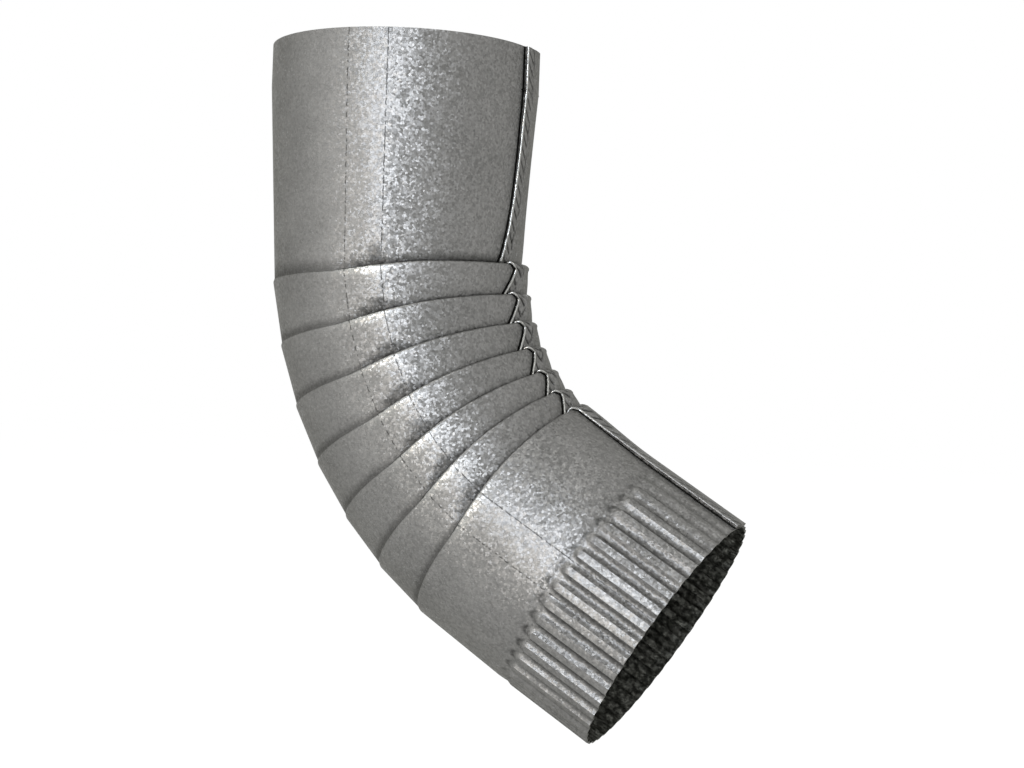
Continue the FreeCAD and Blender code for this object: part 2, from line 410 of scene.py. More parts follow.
@dataclass
class SheetPath:
    """The course of the sheet from the mouth to the rim, at any angle round the pipe.

    Sizes are in millimetres and angles in degrees.  An angle round the pipe is counted from the throat, and
    a pair named open and closed says where a change round the pipe starts and where it is complete.
    """

    sheet: float = 0.5
    seam_width: float = 7.6
    seam_height: float = 1.0
    seam_pressed: float = 0.4
    seam_spread: float = 9.0
    bore_radius: float = frame["record"]["mounts"][0]["dims"]["r_mm"]
    bore_length: float = frame["record"]["mounts"][0]["dims"]["length_mm"]
    inlet_length: float = 66.3
    body_diameter: float = 72.2
    pleat_count: int = 7
    pleat_angle: float = 8.3
    pleat_pitch: float = 13.0
    pitch_fall: float = 0.37
    pleat_overlap: float = 4.2
    fold_clearance: float = 0.22
    lip_clearance: float = 0.42
    lip_lift: float = 1.5
    lift_open: float = 100.0
    lift_closed: float = 52.0
    lip_stand: float = 0.95
    seam_stand: float = 0.7
    heel_draw: float = 1.0
    heel_slope: float = 25.0
    heel_radius: float = 1.2
    heel_step: float = 0.3
    roll_open: float = 120.0
    roll_closed: float = 92.0
    fold_open: float = 100.0
    fold_closed: float = 72.0
    overlap_ends: float = 80.0
    outlet_length: float = 56.9
    outlet_diameter: float = 73.5
    rim_diameter: float = 74.4
    crimp_length: float = 31.0
    crimp_count: int = 42
    crimp_depth: float = 1.1
    crimp_run_in: float = 2.0
    crimp_margin: float = 3.0
    crimp_side: tuple[float, float] = (0.3, 0.82)
    crimp_tip: float = 3.2
    crimp_stagger: float = 0.6
    crimp_round: float = 0.9
    stagger_turn: float = 7.0
    press_in: float = 4.0
    throat_strength: float = 0.45
    throat_fade: tuple[float, float] = (20.0, 50.0)
    heel_loss: float = 0.55
    heel_fade: tuple[float, float] = (125.0, 155.0)
    # Painted shade in the crimps: its strength in the hollow in front of each tip, where and how wide that
    # is, and its strength between the ridges and how it fades in.
    dent_shade: float = 0.75
    dent_place: float = 0.5
    dent_width: float = 0.8
    groove_shade: float = 0.3
    groove_fade: float = 4.0
    outlet_share: float = 0.45
    belly: float = 0.25
    belly_reach: float = 2.6
    dimple: float = 1.1
    dimple_angle: float = 78.0
    dimple_spread: float = 10.0
    dimple_reach: float = 2.2
    wall_rounds: int = 8

    @property
    def wall_radius(self) -> float:
        """Radius of the middle of the sheet at the mouth."""
        return self.bore_radius + self.sheet / 2

    @property
    def body_radius(self) -> float:
        """Radius of the middle of the sheet at the pleats."""
        return (self.body_diameter - self.sheet) / 2

    @property
    def seam_half(self) -> float:
        """Half of the seam strip, as an angle."""
        return self.seam_width / 2 / self.wall_radius

    @property
    def crimp_start(self) -> float:
        """Angle from the throat to the first crimp."""
        return self.seam_half + self.crimp_margin / self.wall_radius

    def sections(self) -> tuple[Array, Array]:
        """Centres of the pleats' planes and of the rim, and how far the axis has turned in each.

        Each centre is the one before plus a pitch along the axis, which turns by one pleat's angle at
        each step, and each pitch is shorter than the one before; a pleat's plane halves its turn.

        Returns:
            Centres, in millimetres, and angles, in radians.
        """
        turn = math.radians(self.pleat_angle)
        number = np.arange(1, self.pleat_count + 1)
        tilts = number * turn
        steps = self.pleat_pitch + self.pitch_fall * (self.pleat_count / 2 - number)
        steps[-1] = self.outlet_length
        moves = self.along(tilts) * steps[:, None]
        start = np.array([[0.0, 0.0, -self.inlet_length]])
        centres = np.concatenate([start, start + np.cumsum(moves, axis=0)])
        return centres, np.append(tilts - turn / 2, tilts[-1])

    @staticmethod
    def along(tilt: Array) -> Array:
        """Direction of the axis where it has turned by an angle."""
        return np.stack([np.sin(tilt), 0 * tilt, -np.cos(tilt)], axis=-1)

    @staticmethod
    def outward(tilt: Array, angles: Array) -> Array:
        """Directions away from the axis: cos angle towards the throat plus sin angle along Y.

        Args:
            tilt: How far the axis has turned in each plane.
            angles: Angles round the pipe, 0 at the throat.

        Returns:
            An array of planes by angles by three.
        """
        throat = np.stack([np.cos(tilt), 0 * tilt, np.sin(tilt)], axis=-1)
        side = np.array([0.0, 1.0, 0.0])
        return throat[:, None] * np.cos(angles)[:, None] + side * np.sin(angles)[:, None]

    @staticmethod
    def from_throat(angles: Array) -> Array:
        """Unsigned angle from the middle of the throat."""
        return np.abs((angles + np.pi) % (2 * np.pi) - np.pi)

    def folds(self, angles: Array) -> Folds:
        """Every pleat's fold at these angles, settled against the walls.

        Args:
            angles: Angles round the pipe, 0 at the throat.

        Returns:
            The folds.
        """
        centres, tilts = self.sections()
        count = self.pleat_count
        away = self.from_throat(angles)
        degrees = np.degrees(away)
        closed = self.closed(angles)
        rolled = smooth(degrees, self.roll_open, self.roll_closed)
        on_seam = 1 - smooth(away, self.seam_half, self.seam_half + self.seam_spread / self.wall_radius)
        reach = math.cos(math.radians(self.overlap_ends))
        depth = np.maximum(0.0, (np.cos(away) - reach) / (1 - reach))
        heel_slope = math.radians(self.heel_slope)
        inner_bend = self.heel_radius + ((self.sheet + self.fold_clearance) / 2 - self.heel_radius) * rolled
        lip_bend = self.heel_radius + ((self.sheet + self.lip_clearance) / 2 - self.heel_radius) * rolled
        place = np.linspace(-1, 1, count)[:, None]
        draw = self.heel_draw * (1 - place ** 2) * (1 - closed)
        folds = Folds(
            centre=centres[:count], along=self.along(tilts[:count]),
            outward=self.outward(tilts[:count], angles),
            swing=heel_slope + (math.pi - heel_slope) * closed,
            inner_bend=inner_bend + self.seam_pressed * on_seam, lip_bend=lip_bend,
            layer=self.heel_step + self.pleat_overlap * depth,
            lip_radius=self.body_radius + self.lip_stand * closed + self.seam_stand * on_seam - draw,
            lip_drop=-self.lip_lift * smooth(degrees, self.lift_open, self.lift_closed),
            above=np.zeros((count, len(angles))), below=np.zeros((count, len(angles))))
        folds.settle(self.crimp(angles, np.zeros(1))[0][0], self.wall_rounds)
        return folds

    def closed(self, angles: Array) -> Array:
        """How far the folds are closed: 1 from the throat to the sides, 0 round the heel."""
        return smooth(np.degrees(self.from_throat(angles)), self.fold_open, self.fold_closed)

    def ridges(self, angles: Array, shares: Array) -> tuple[Array, Array]:
        """Height of the crimped wall off its mean, in millimetres, and how strong the painted shade is in it.

        The wall is pressed in by half of the crimps' depth and each ridge rises by the whole of it out of
        a rounded tip, so a hollow lies in front of the tip; there and between the ridges the colour is
        darkened as painted shade.  A ridge is flat on top with S-curved sides; the crimps are weaker near the
        throat and round the heel and stop beside the seam.

        Args:
            angles: Angles round the pipe.
            shares: How far down the crimps, from 0 to 1.

        Returns:
            Two arrays of shares by angles.
        """
        run = np.asarray(shares)[:, None] * self.crimp_length
        away = self.from_throat(angles)
        degrees = np.degrees(away)
        pitch = 2 * (math.pi - self.crimp_start) / self.crimp_count
        turns = (angles % (2 * math.pi) - self.crimp_start) / pitch
        number = np.floor(turns)
        across = np.abs(2 * (turns - number) - 1)
        stagger = self.crimp_stagger * np.sin(self.stagger_turn * number)
        tip = self.crimp_tip + stagger + self.crimp_round * (2 * across) ** 2
        body = 1 - smooth(across, *self.crimp_side)
        ridge = body * smooth(run, tip, tip + self.crimp_run_in)
        beside_seam = smooth(away, self.crimp_start, self.crimp_start + pitch / 2)
        throat = self.throat_strength + (1 - self.throat_strength) * smooth(degrees, *self.throat_fade)
        heel = 1 - self.heel_loss * smooth(degrees, *self.heel_fade)
        strength = beside_seam * smooth(run, 0, self.press_in) * throat * heel
        # Painted shade in the hollow in front of each tip and between the ridges after it.
        dent_shades = self.dent_shade * body * bump(run, tip - self.dent_place, self.dent_width)
        groove_shades = self.groove_shade * (1 - body) * smooth(run, tip, tip + self.groove_fade)
        return self.crimp_depth * (ridge - 0.5) * strength, np.maximum(dent_shades, groove_shades) * strength

    def crimp(self, angles: Array, shares: Array) -> tuple[Array, Array]:
        """Points of the crimped end, and the directions off it.

        The radius runs along an S-curve from the wall to the rim, and the ridges add to it.

        Args:
            angles: Angles round the pipe.
            shares: How far down the crimps, from 0 to 1.

        Returns:
            Two arrays of shares by angles by three.
        """
        centres, tilts = self.sections()
        shares = np.asarray(shares)[:, None]
        start = (self.outlet_diameter - self.sheet) / 2
        rim = (self.rim_diameter - self.sheet - self.crimp_depth) / 2
        radius = start + (rim - start) * smooth(shares, 0, 1) + self.ridges(angles, shares[:, 0])[0]
        outward = self.outward(tilts[-1:], angles)[0]
        drop = self.crimp_length * (shares - 1)
        middle = centres[-1] + radius[..., None] * outward + drop[..., None] * self.along(tilts[-1:])
        return middle, np.broadcast_to(outward, middle.shape)

    def rows(self, angles: Array, plan: RowPlan) -> Rows:
        """Rows of the whole sheet at these angles: mouth, neck, folds with walls between, outlet, crimps.

        Args:
            angles: Angles round the pipe, 0 at the throat.
            plan: How many rows each stretch has.

        Returns:
            The rows, from the mouth to the rim.
        """
        folds = self.folds(angles)
        mouth_out = self.outward(np.zeros(1), angles)[0]
        drops = np.linspace(0, self.bore_length, plan.mouth + 1)
        mouth = mouth_out * self.wall_radius - drops[:, None, None] * np.array([0.0, 0.0, 1.0])
        blocks = [Rows.even(mouth, mouth_out, np.inf, np.inf, 0.0, self.seam_height, 0)]
        stretches = [(Stretch.ENTRY, np.linspace(0, 1, plan.entry + 1)[:-1]),
                     (Stretch.INNER, np.linspace(0, 1, plan.bend + 1)),
                     (Stretch.MIDDLE, np.linspace(0, 1, plan.middle + 2)[1:-1]),
                     (Stretch.LIP, np.linspace(0, 1, plan.lip + 1))]
        placed = [folds.place(stretch, shares) for stretch, shares in stretches]
        for pleat in range(self.pleat_count):
            layers = [(middle[:, pleat], normal[:, pleat]) for middle, normal in placed]
            hidden = [Rows.even(*layer, 0.0, np.inf, 1.0, self.seam_pressed, -1) for layer in layers[:-1]]
            lip = Rows.even(*layers[-1], np.inf, 0.0, 0.0, self.seam_pressed, pleat + 1)
            lip.from_lip -= np.linalg.norm(lip.middle - lip.middle[-1:], axis=-1)
            blocks.append(self.wall(blocks[-1], hidden[0], angles, plan.wall if pleat else plan.neck))
            blocks += [*hidden, lip]
        shares = plan.crimp_shares()
        crimps = self.crimp(angles, shares)
        outlet = Rows.even(*crimps, np.inf, np.inf, 0.0, self.seam_height, self.pleat_count)
        outlet.share += self.outlet_share + (1 - self.outlet_share) * shares[:, None]
        blocks += [self.wall(blocks[-1], outlet, angles, plan.outlet), outlet]
        return Rows.joined(blocks)

    def wall(self, above: Rows, below: Rows, angles: Array, count: int) -> Rows:
        """Rows of the wall between the last row above and the first row below, without those two.

        The wall is a straight line with a belly: at a share s of its length it stands out by s less a high
        power of s, so above a fold it dives in behind the lip, most of all in a dimple at each side.

        Args:
            above: The rows that end where the wall starts.
            below: The rows that start where it ends.
            angles: Angles of the columns.
            count: How many rows it has.

        Returns:
            The rows between.
        """
        share = np.linspace(0, 1, count + 2)[1:-1, None]
        top, foot = above.middle[-1], below.middle[0]
        length = np.linalg.norm(foot - top, axis=-1)
        folds_below = below.part[0, 0] < 0
        dimple = bump(np.degrees(self.from_throat(angles)), self.dimple_angle, self.dimple_spread)
        belly = self.belly * self.closed(angles) + self.dimple * dimple
        reach = self.belly_reach + self.dimple_reach * dimple
        rise = belly * folds_below * (share - share ** np.maximum(length / reach, 1.0))
        normal = above.normal[-1] + (below.normal[0] - above.normal[-1]) * share[..., None]
        middle = top + (foot - top) * share[..., None] + normal * rise[..., None]
        to_fold = (1 - share) * length if folds_below else np.full(middle.shape[:2], np.inf)
        down = share * below.share[0]
        part = np.full(middle.shape[:2], above.part[-1, 0])
        seam = above.seam[-1] + (below.seam[0] - above.seam[-1]) * share
        return Rows(middle, normal, to_fold, share * length, down, seam, part)


# Finish

@dataclass(frozen=True)
class GalvanisedSteel:
    """Hot-dip galvanised sheet steel: a thin zinc skin that froze into small crystals.

    To the eye it is a dull grey metal with a fine mottle of lighter and darker crystals, a broad highlight
    that sparkles from crystal to crystal, and a dull, blotchy lining; painted shade darkens the folds, the
    crimps and the seam's edge, and a painted highlight brightens each lip and the seam's bead.  Sizes are in
    millimetres.
    """

    dark: str = "#555553"
    light: str = "#999895"
    # Near-black of the painted shade; the scribed lines are drawn in it too.
    painted_shade: str = "#161614"
    lining: str = "#72736d"
    blotch: str = "#40413c"
    # Colour of the painted highlight on each lip and on the seam's bead.
    painted_highlight: str = "#a4a4a0"
    limb: str = "#bcbcb8"
    crystal: float = 0.62
    ragged: float = 0.3
    facet: float = 0.34
    flake: float = 1.0
    cloud: float = 12.0
    patch: float = 1.9
    rough: float = 0.46
    rough_polished: float = 0.28
    scribe_angles: tuple[float, float] = (74.8, 91.4)
    scribe_breaks: tuple[float, float] = (0.36, 0.45)
    scribe_depth: float = 0.7
    scribe_width: float = 0.17
    scribe_dash: float = 1.5
    scribe_wander: float = 0.5
    scribe_edge: float = 0.08
    scribe_apart: float = 400.0
    millimetres_per_degree: float = 0.64
    flake_share: float = 0.55
    flake_swirl: float = 0.3
    cloud_share: float = 0.3
    patch_edges: tuple[float, float] = (0.42, 0.6)

    def build(self) -> bpy.types.Material:
        """Makes the material.

        The colour runs between the dark and the light grey with the tones of the crystals, the flakes and
        the clouds; the lining and the scribed lines darken it, painted shade darkens it at the folds, crimps
        and seam, and a painted highlight brightens each lip and the seam's bead.
        Each ragged crystal is a small plane, tilted its own way, which breaks the highlight into sparks: its
        height is the way from its middle times a random direction.

        Returns:
            The material.
        """
        material = bpy.data.materials.new("hot_dip_galvanised_steel")
        material.use_nodes = True
        tree = material.node_tree
        tree.nodes.clear()
        coords = add_node(tree, "ShaderNodeTexCoord").outputs["Object"]
        marks = {name: add_node(tree, "ShaderNodeAttribute", attribute_name=name).outputs["Fac"]
                 for name in MARKS}
        wander = add_node(tree, "ShaderNodeTexNoise", {"Vector": coords, "Scale": 1 / (self.ragged * MM)})
        ragged = add_node(tree, "ShaderNodeVectorMath", {
            0: wander.outputs["Color"], 1: (self.ragged * MM,) * 3, 2: coords}, operation="MULTIPLY_ADD")
        crystals = add_node(tree, "ShaderNodeTexVoronoi", {
            "Vector": ragged.outputs[0], "Scale": 1 / (self.crystal * MM)})
        sizes = ((self.flake, self.flake_swirl), (self.cloud, 0.0), (self.patch, 0.0))
        flakes, clouds, blotches = (add_node(tree, "ShaderNodeTexNoise", {
            "Vector": coords, "Scale": 1 / (size * MM), "Detail": 2.0, "Distortion": swirl}).outputs["Fac"]
            for size, swirl in sizes)
        tones = add_node(tree, "ShaderNodeSeparateColor", {"Color": crystals.outputs["Color"]})
        tone = tones.outputs["Red"]
        for share, other in ((self.flake_share, flakes), (self.cloud_share, clouds)):
            tone = add_node(tree, "ShaderNodeMix", {"Factor": share, 2: tone, 3: other}).outputs[0]
        patches = add_node(tree, "ShaderNodeMapRange", {
            "Value": blotches, "From Min": self.patch_edges[0], "From Max": self.patch_edges[1]})
        greys = ((tone, self.dark, self.light), (patches.outputs["Result"], self.blotch, self.lining))
        colour, dull = (add_node(tree, "ShaderNodeMix", {
            "Factor": share, 6: linear(low), 7: linear(high)}, data_type="RGBA").outputs[2]
            for share, low, high in greys)
        # Painted shade, or a scribed line, wherever either is the darker.
        dark = add_node(tree, "ShaderNodeMath", {
            0: marks["painted_shade"], 1: self.scribed(tree, marks)}, operation="MAXIMUM")
        # Over the zinc lie the lining's own colour, a painted highlight and, last, the painted shade with the
        # scribed lines.
        layers = ((marks["lining"], dull), (marks["polish_and_painted_highlight"], linear(self.painted_highlight)),
                  (dark.outputs[0], linear(self.painted_shade)))
        for share, layer in layers:
            mixed = add_node(tree, "ShaderNodeMix", {"Factor": share, 6: colour, 7: layer}, data_type="RGBA")
            colour = mixed.outputs[2]
        rough = add_node(tree, "ShaderNodeMapRange", {
            "Value": marks["polish_and_painted_highlight"], "To Min": self.rough, "To Max": self.rough_polished})
        way = add_node(tree, "ShaderNodeVectorMath", {
            0: ragged.outputs[0], 1: crystals.outputs["Position"]}, operation="SUBTRACT")
        lean = add_node(tree, "ShaderNodeVectorMath", {
            0: crystals.outputs["Color"], 1: (0.5, 0.5, 0.5)}, operation="SUBTRACT")
        height = add_node(tree, "ShaderNodeVectorMath", {0: way.outputs[0], 1: lean.outputs[0]},
                          operation="DOT_PRODUCT")
        relief = add_node(tree, "ShaderNodeBump", {"Height": height.outputs["Value"], "Distance": self.facet})
        surface = add_node(tree, "ShaderNodeBsdfPrincipled", {
            "Base Color": colour, "Metallic": 1.0, "Roughness": rough.outputs["Result"],
            "Specular Tint": linear(self.limb), "Normal": relief.outputs["Normal"]})
        add_node(tree, "ShaderNodeOutputMaterial", {"Surface": surface.outputs["BSDF"]})
        return material

    def scribed(self, tree: bpy.types.NodeTree,
                marks: dict[str, bpy.types.NodeSocket]) -> bpy.types.NodeSocket:
        """Strength of the two broken lines that are scribed down the near side.

        A line is where the angle round the pipe is within half of its width of the line's own; noise along
        the run makes it wander and breaks it into dashes, and the lining has none.

        Args:
            tree: The node tree.
            marks: The sheet's attributes.

        Returns:
            The strength, from 0 to 1.
        """
        strengths = []
        for number, (angle, breaks) in enumerate(zip(self.scribe_angles, self.scribe_breaks)):
            along = add_node(tree, "ShaderNodeMath", {
                0: marks["run"], 1: self.scribe_apart * number}, operation="ADD")
            dashes = add_node(tree, "ShaderNodeTexNoise", {
                "W": along.outputs[0], "Scale": 1 / self.scribe_dash, "Detail": 1.0}, noise_dimensions="1D")
            wander = self.scribe_wander / self.millimetres_per_degree
            place = add_node(tree, "ShaderNodeMath", {
                0: dashes.outputs["Fac"], 1: wander, 2: marks["round"]}, operation="MULTIPLY_ADD")
            width = self.scribe_width / self.millimetres_per_degree
            near = add_node(tree, "ShaderNodeMath", {
                0: place.outputs[0], 1: wander / 2 - angle, 2: width}, operation="COMPARE")
            broken = add_node(tree, "ShaderNodeMapRange", {
                "Value": dashes.outputs["Fac"], "From Min": breaks, "From Max": breaks + self.scribe_edge})
            strengths.append(add_node(tree, "ShaderNodeMath", {
                0: near.outputs[0], 1: broken.outputs["Result"]}, operation="MULTIPLY").outputs[0])
        both = add_node(tree, "ShaderNodeMath", {0: strengths[0], 1: strengths[1]}, operation="MAXIMUM")
        outside = add_node(tree, "ShaderNodeMapRange", {
            "Value": marks["lining"], "To Min": self.scribe_depth, "To Max": 0.0})
        return add_node(tree, "ShaderNodeMath", {
            0: both.outputs[0], 1: outside.outputs["Result"]}, operation="MULTIPLY").outputs[0]


# Pieces

@dataclass
class SeamLine:
    """Where the lock seam runs: a strip along the throat that spreads towards each fold."""

    path: SheetPath
    inlet_half: float = 5.2
    pleat_half: float = 4.2
    outlet_half: float = 4.0
    spread: float = 5.5
    outlet_spread: float = 1.6
    inlet_power: float = 4.0
    pleat_power: float = 1.5
    hook: float = 2.6
    hook_reach: float = 0.9
    reach: float = 24.0
    samples: int = 97

    def half_width(self, rows: Rows) -> Array:
        """Half of the strip's width on each row, in millimetres.

        The spread grows with a power of the share of the way down to the fold, later on the long inlet,
        and over each lip the edge hooks outwards along an S-curve.

        Args:
            rows: The rows of the sheet that it runs over.

        Returns:
            An array of rows by columns.
        """
        kinds = [rows.part == 0, rows.part == self.path.pleat_count]
        half = np.select(kinds, [self.inlet_half, self.outlet_half], self.pleat_half)
        spread = np.select(kinds, [self.spread, self.outlet_spread], self.spread)
        power = np.select(kinds, [self.inlet_power, 1.0], self.pleat_power)
        hook = self.hook * smooth(rows.from_lip, self.hook_reach, -self.hook_reach)
        return half + spread * rows.share ** power + hook

    def rows(self, across: Array, plan: RowPlan) -> Rows:
        """Rows of the sheet under the seam.

        Args:
            across: Places of the columns: -1 is the near edge, 1 the far one, and past them a part of a
                millimetre counts as such.
            plan: How many rows each stretch has.

        Returns:
            The rows, with columns that follow the strip's edges.
        """
        angles = np.radians(np.linspace(-self.reach, self.reach, self.samples))
        rows = self.path.rows(angles, plan)
        half = self.half_width(rows)[:, :1]
        inside = np.clip(across, -1, 1)
        return rows.sampled(angles, (inside * half + across - inside) / self.path.wall_radius)


@dataclass
class PleatedSheet:
    """The sheet itself: inlet, pleats and crimped outlet as one wall with an outside and a lining."""

    path: SheetPath
    seam: SeamLine
    steel: bpy.types.Material
    crimp_columns: tuple[float, ...] = (0.0, 0.09, 0.19, 0.31, 0.5, 0.69, 0.81, 0.91)
    seam_columns: int = 8
    outside: RowPlan = field(default_factory=RowPlan)
    lining: RowPlan = field(default_factory=lambda: RowPlan(1, 5, 1, 2, 0, 2, 2, 4, 12))
    sharp: float = 40.0
    # Painted shade near each fold, fainter round the heel; a painted shadow beside the seam; a painted shade
    # wedge above each fold at the sides.
    fold_shade_reach: float = 0.9
    heel_shade: float = 0.5
    shadow_reach: float = 1.3
    shadow_depth: float = 0.6
    wedge_height: float = 5.6
    wedge_angle: float = 77.0
    wedge_spread: float = 15.0
    wedge_shade_depth: float = 0.6
    wedge_fade: tuple[float, float] = (0.6, 1.0)
    wedge_least: float = 0.01
    # A painted highlight, with a lower roughness, on each lip at the sides.
    lip_angle: float = 84.0
    lip_spread: float = 11.0
    lip_polish_and_highlight: float = 1.0

    def angles(self) -> Array:
        """Angles of the columns: the same set over each crimp, and even steps over the plain throat.

        Returns:
            The angles, in radians, from one side of the throat round to the other.
        """
        start = self.path.crimp_start
        pitch = 2 * (math.pi - start) / self.path.crimp_count
        crimps = start + pitch * (np.arange(self.path.crimp_count)[:, None] + np.array(self.crimp_columns))
        throat = np.linspace(-start, start, self.seam_columns + 1)[:-1]
        return np.concatenate([throat, crimps.ravel()])

    def build(self) -> bpy.types.Object:
        """Makes the sheet: its outside and its lining are half its thickness off the middle on each side.

        Returns:
            The piece, which stands for the solid.
        """
        angles = self.angles()
        columns = len(angles)
        half = self.path.sheet / 2
        layers = [self.path.rows(angles, self.outside), self.path.rows(angles, self.lining)]
        points = np.concatenate([layers[0].off(half).reshape(-1, 3), layers[1].off(-half).reshape(-1, 3)])
        counts = [len(layer.middle) for layer in layers]
        size = counts[0] * columns
        here = np.arange(columns)
        beside = (here + 1) % columns
        ends = [size - columns, size + (counts[1] - 1) * columns]
        faces = np.concatenate([
            grid_faces(counts[0], columns),
            grid_faces(counts[1], columns, size)[:, ::-1],
            np.stack([here, beside, beside + size, here + size], axis=-1),
            np.stack([here + ends[1], beside + ends[1], beside + ends[0], here + ends[0]], axis=-1)])
        signed = np.degrees((angles + math.pi) % (2 * math.pi) - math.pi)
        # Painted shade on both sides of the sheet, and a painted highlight, with a lower roughness, on the
        # outside at each lip.
        marks = {
            "painted_shade": np.concatenate([self.shade_darkness(angles, layer, plan).ravel()
                                      for layer, plan in zip(layers, (self.outside, self.lining))]),
            "lining": np.repeat([0.0, 1.0], [size, len(points) - size]),
            "round": np.tile(signed, sum(counts)),
            "run": np.concatenate([layer.run().ravel() for layer in layers]),
            "polish_and_painted_highlight": np.append(self.lip_highlights(angles, layers[0]).ravel(), np.zeros(len(points) - size)),
        }
        piece = make_piece("pleated_sheet", points, faces.tolist(), marks, self.steel, self.sharp)
        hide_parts(NODE)
        return piece

    def lip_highlights(self, angles: Array, rows: Rows) -> Array:
        """How strong the painted highlight on each lip is, with its lower roughness: a bell curve round the
        pipe that fades down the wall.
        """
        side = bump(np.degrees(self.path.from_throat(angles)), self.lip_angle, self.lip_spread)
        return self.lip_polish_and_highlight * side * np.exp(-np.maximum(rows.from_lip, 0))

    def shade_darkness(self, angles: Array, rows: Rows, plan: RowPlan) -> Array:
        """How dark the painted shade is, from 0 to 1.

        Painted shade at a fold fades with the distance to it as a power of e and is fainter round the heel,
        where the fold opens into a bead.  A wedge of painted shade above each fold marks the dimple at the
        side, a painted shadow along the edge of the seam fades across as the shade at the folds does, and the
        crimps carry their own painted shade.

        Args:
            angles: Angles of the columns.
            rows: The rows of one side of the sheet.
            plan: How many rows each stretch has.

        Returns:
            The darkness at each point.
        """
        away = self.path.from_throat(angles)
        strength = self.heel_shade + (1 - self.heel_shade) * self.path.closed(angles)
        # Painted shade near each fold, in a wedge above it at the sides, beside the seam's edge and in the
        # crimps.
        folds = np.exp(-rows.to_fold / self.fold_shade_reach) * strength
        from_side = np.abs(np.degrees(away) - self.wedge_angle) / self.wedge_spread
        height = self.wedge_height * np.maximum(1 - from_side, self.wedge_least)
        wedge_shade = self.wedge_shade_depth * (1 - smooth(rows.to_fold / height, *self.wedge_fade)) * (from_side < 1)
        beside = away * self.path.wall_radius - self.seam.half_width(rows)
        edges = self.shadow_depth * np.exp(-np.maximum(beside, 0) / self.shadow_reach)
        dark = np.maximum(np.maximum(folds, wedge_shade), edges)
        shares = plan.crimp_shares()
        dark[-len(shares):] = np.maximum(dark[-len(shares):], self.path.ridges(angles, shares)[1])
        return dark


@dataclass
class LockSeam:
    """The lock seam: a raised strip with slanting press marks, darkened as painted shade, and a thin black
    strip along its near edge as a painted shadow.
    """

    seam: SeamLine
    steel: bpy.types.Material
    plan: RowPlan = field(default_factory=lambda: RowPlan(48, 216, 2, 4, 2, 10, 26, 100, 124, 0.19))
    columns: int = 30
    sharp: float = 55.0
    # Width past the near edge of a thin strip, lifted just off the sheet and coloured black, that stands as a
    # painted shadow.
    painted_shadow_strip: float = 0.8
    swell: float = 1.0
    sunk: float = 0.1
    mark_pitch: float = 3.5
    mark_depth: float = 0.35
    mark_width: float = 0.45
    mark_band: tuple[float, float] = (0.9, 4.1)
    line_place: float = 4.7
    line_wander: float = 0.25
    line_width: float = 0.25
    line_wave: float = 2.3
    line_gap: float = 1.7
    line_breaks: tuple[float, float] = (-0.6, 0.2)
    band_fade: float = 0.3
    painted_shadow_lift: float = 0.06
    swell_side: tuple[float, float] = (-0.7, 0.1)
    # Painted shade near each fold and in the press marks.
    fold_shade_reach: float = 0.9
    mark_shade: float = 0.95
    lip_share: float = 0.75
    lip_rise: float = 0.7
    wall_rise: float = 0.6
    outlet_fall: float = 0.4

    def build(self) -> bpy.types.Object:
        """Makes the strip: a black painted shadow along the near edge, raised top with marks and a wandering
        line, far side, sunk underside.

        Each mark is a bell curve of the distance to a line that falls one millimetre along for each one
        across; the long line is a bell curve about a sine of the run, broken by a second one.

        Returns:
            The piece.
        """
        top = np.linspace(-1, 1, self.columns)
        across = np.concatenate([[-1 - self.painted_shadow_strip, -1.0], top, [1.0, -1 - self.painted_shadow_strip]])
        rows = self.seam.rows(across, self.plan)
        run = rows.run()[:, :1]
        edge = (across + 1) * self.seam.half_width(rows)
        phase = (run - edge) / self.mark_pitch
        near = np.abs(phase - np.round(phase)) * self.mark_pitch
        first, last = self.mark_band
        band = smooth(edge, first - self.band_fade, first) * (1 - smooth(edge, last, last + self.band_fade))
        marks = bump(near, 0.0, self.mark_width) * band
        wander = self.line_wander * np.sin(run / self.line_wave)
        line = bump(edge, self.line_place + wander, self.line_width)
        pressed = np.maximum(marks, line * smooth(np.sin(run / self.line_gap), *self.line_breaks))
        painted_shadow_strip = np.arange(len(across)) < 2
        raised = np.zeros(len(across))
        raised[2:-2] = 1  # all but the two columns of the painted shadow and the underside's two
        low = np.where(painted_shadow_strip, self.painted_shadow_lift, -self.sunk)
        base = self.seam.path.sheet / 2
        height = rows.seam + self.swelling(rows) * smooth(across, *self.swell_side)
        points = rows.off(base + low + raised * (height - low - self.mark_depth * pressed))
        count, width = edge.shape
        faces = grid_faces(count, width).tolist()
        faces.append(list(range(width)))
        faces.append(list(range(count * width - 1, (count - 1) * width - 1, -1)))
        # Painted shadow on the black strip beside the near edge, painted shade in the press marks and painted
        # shade near each fold.
        dark = np.maximum(painted_shadow_strip, self.mark_shade * pressed * raised)
        dark = np.maximum(np.exp(-rows.to_fold / self.fold_shade_reach), dark)
        return make_piece("lock_seam", points.reshape(-1, 3), faces, {"painted_shade": dark}, self.steel, self.sharp)

    def swelling(self, rows: Rows) -> Array:
        """How far the strip swells between the folds, in millimetres.

        It grows along one S-curve over the lip and along another down the wall; on the outlet it dies out.

        Args:
            rows: The rows of the sheet that it runs over.

        Returns:
            An array of rows by columns.
        """
        lip = smooth(rows.from_lip, -self.lip_rise, 0.0)
        pleats = self.lip_share * lip + (1 - self.lip_share) * smooth(rows.share, 0, self.wall_rise)
        outlet = lip * (1 - smooth(rows.share, 0, self.outlet_fall))
        kinds = [rows.part <= 0, rows.part == self.seam.path.pleat_count]
        return self.swell * np.select(kinds, [0.0, outlet], pleats)


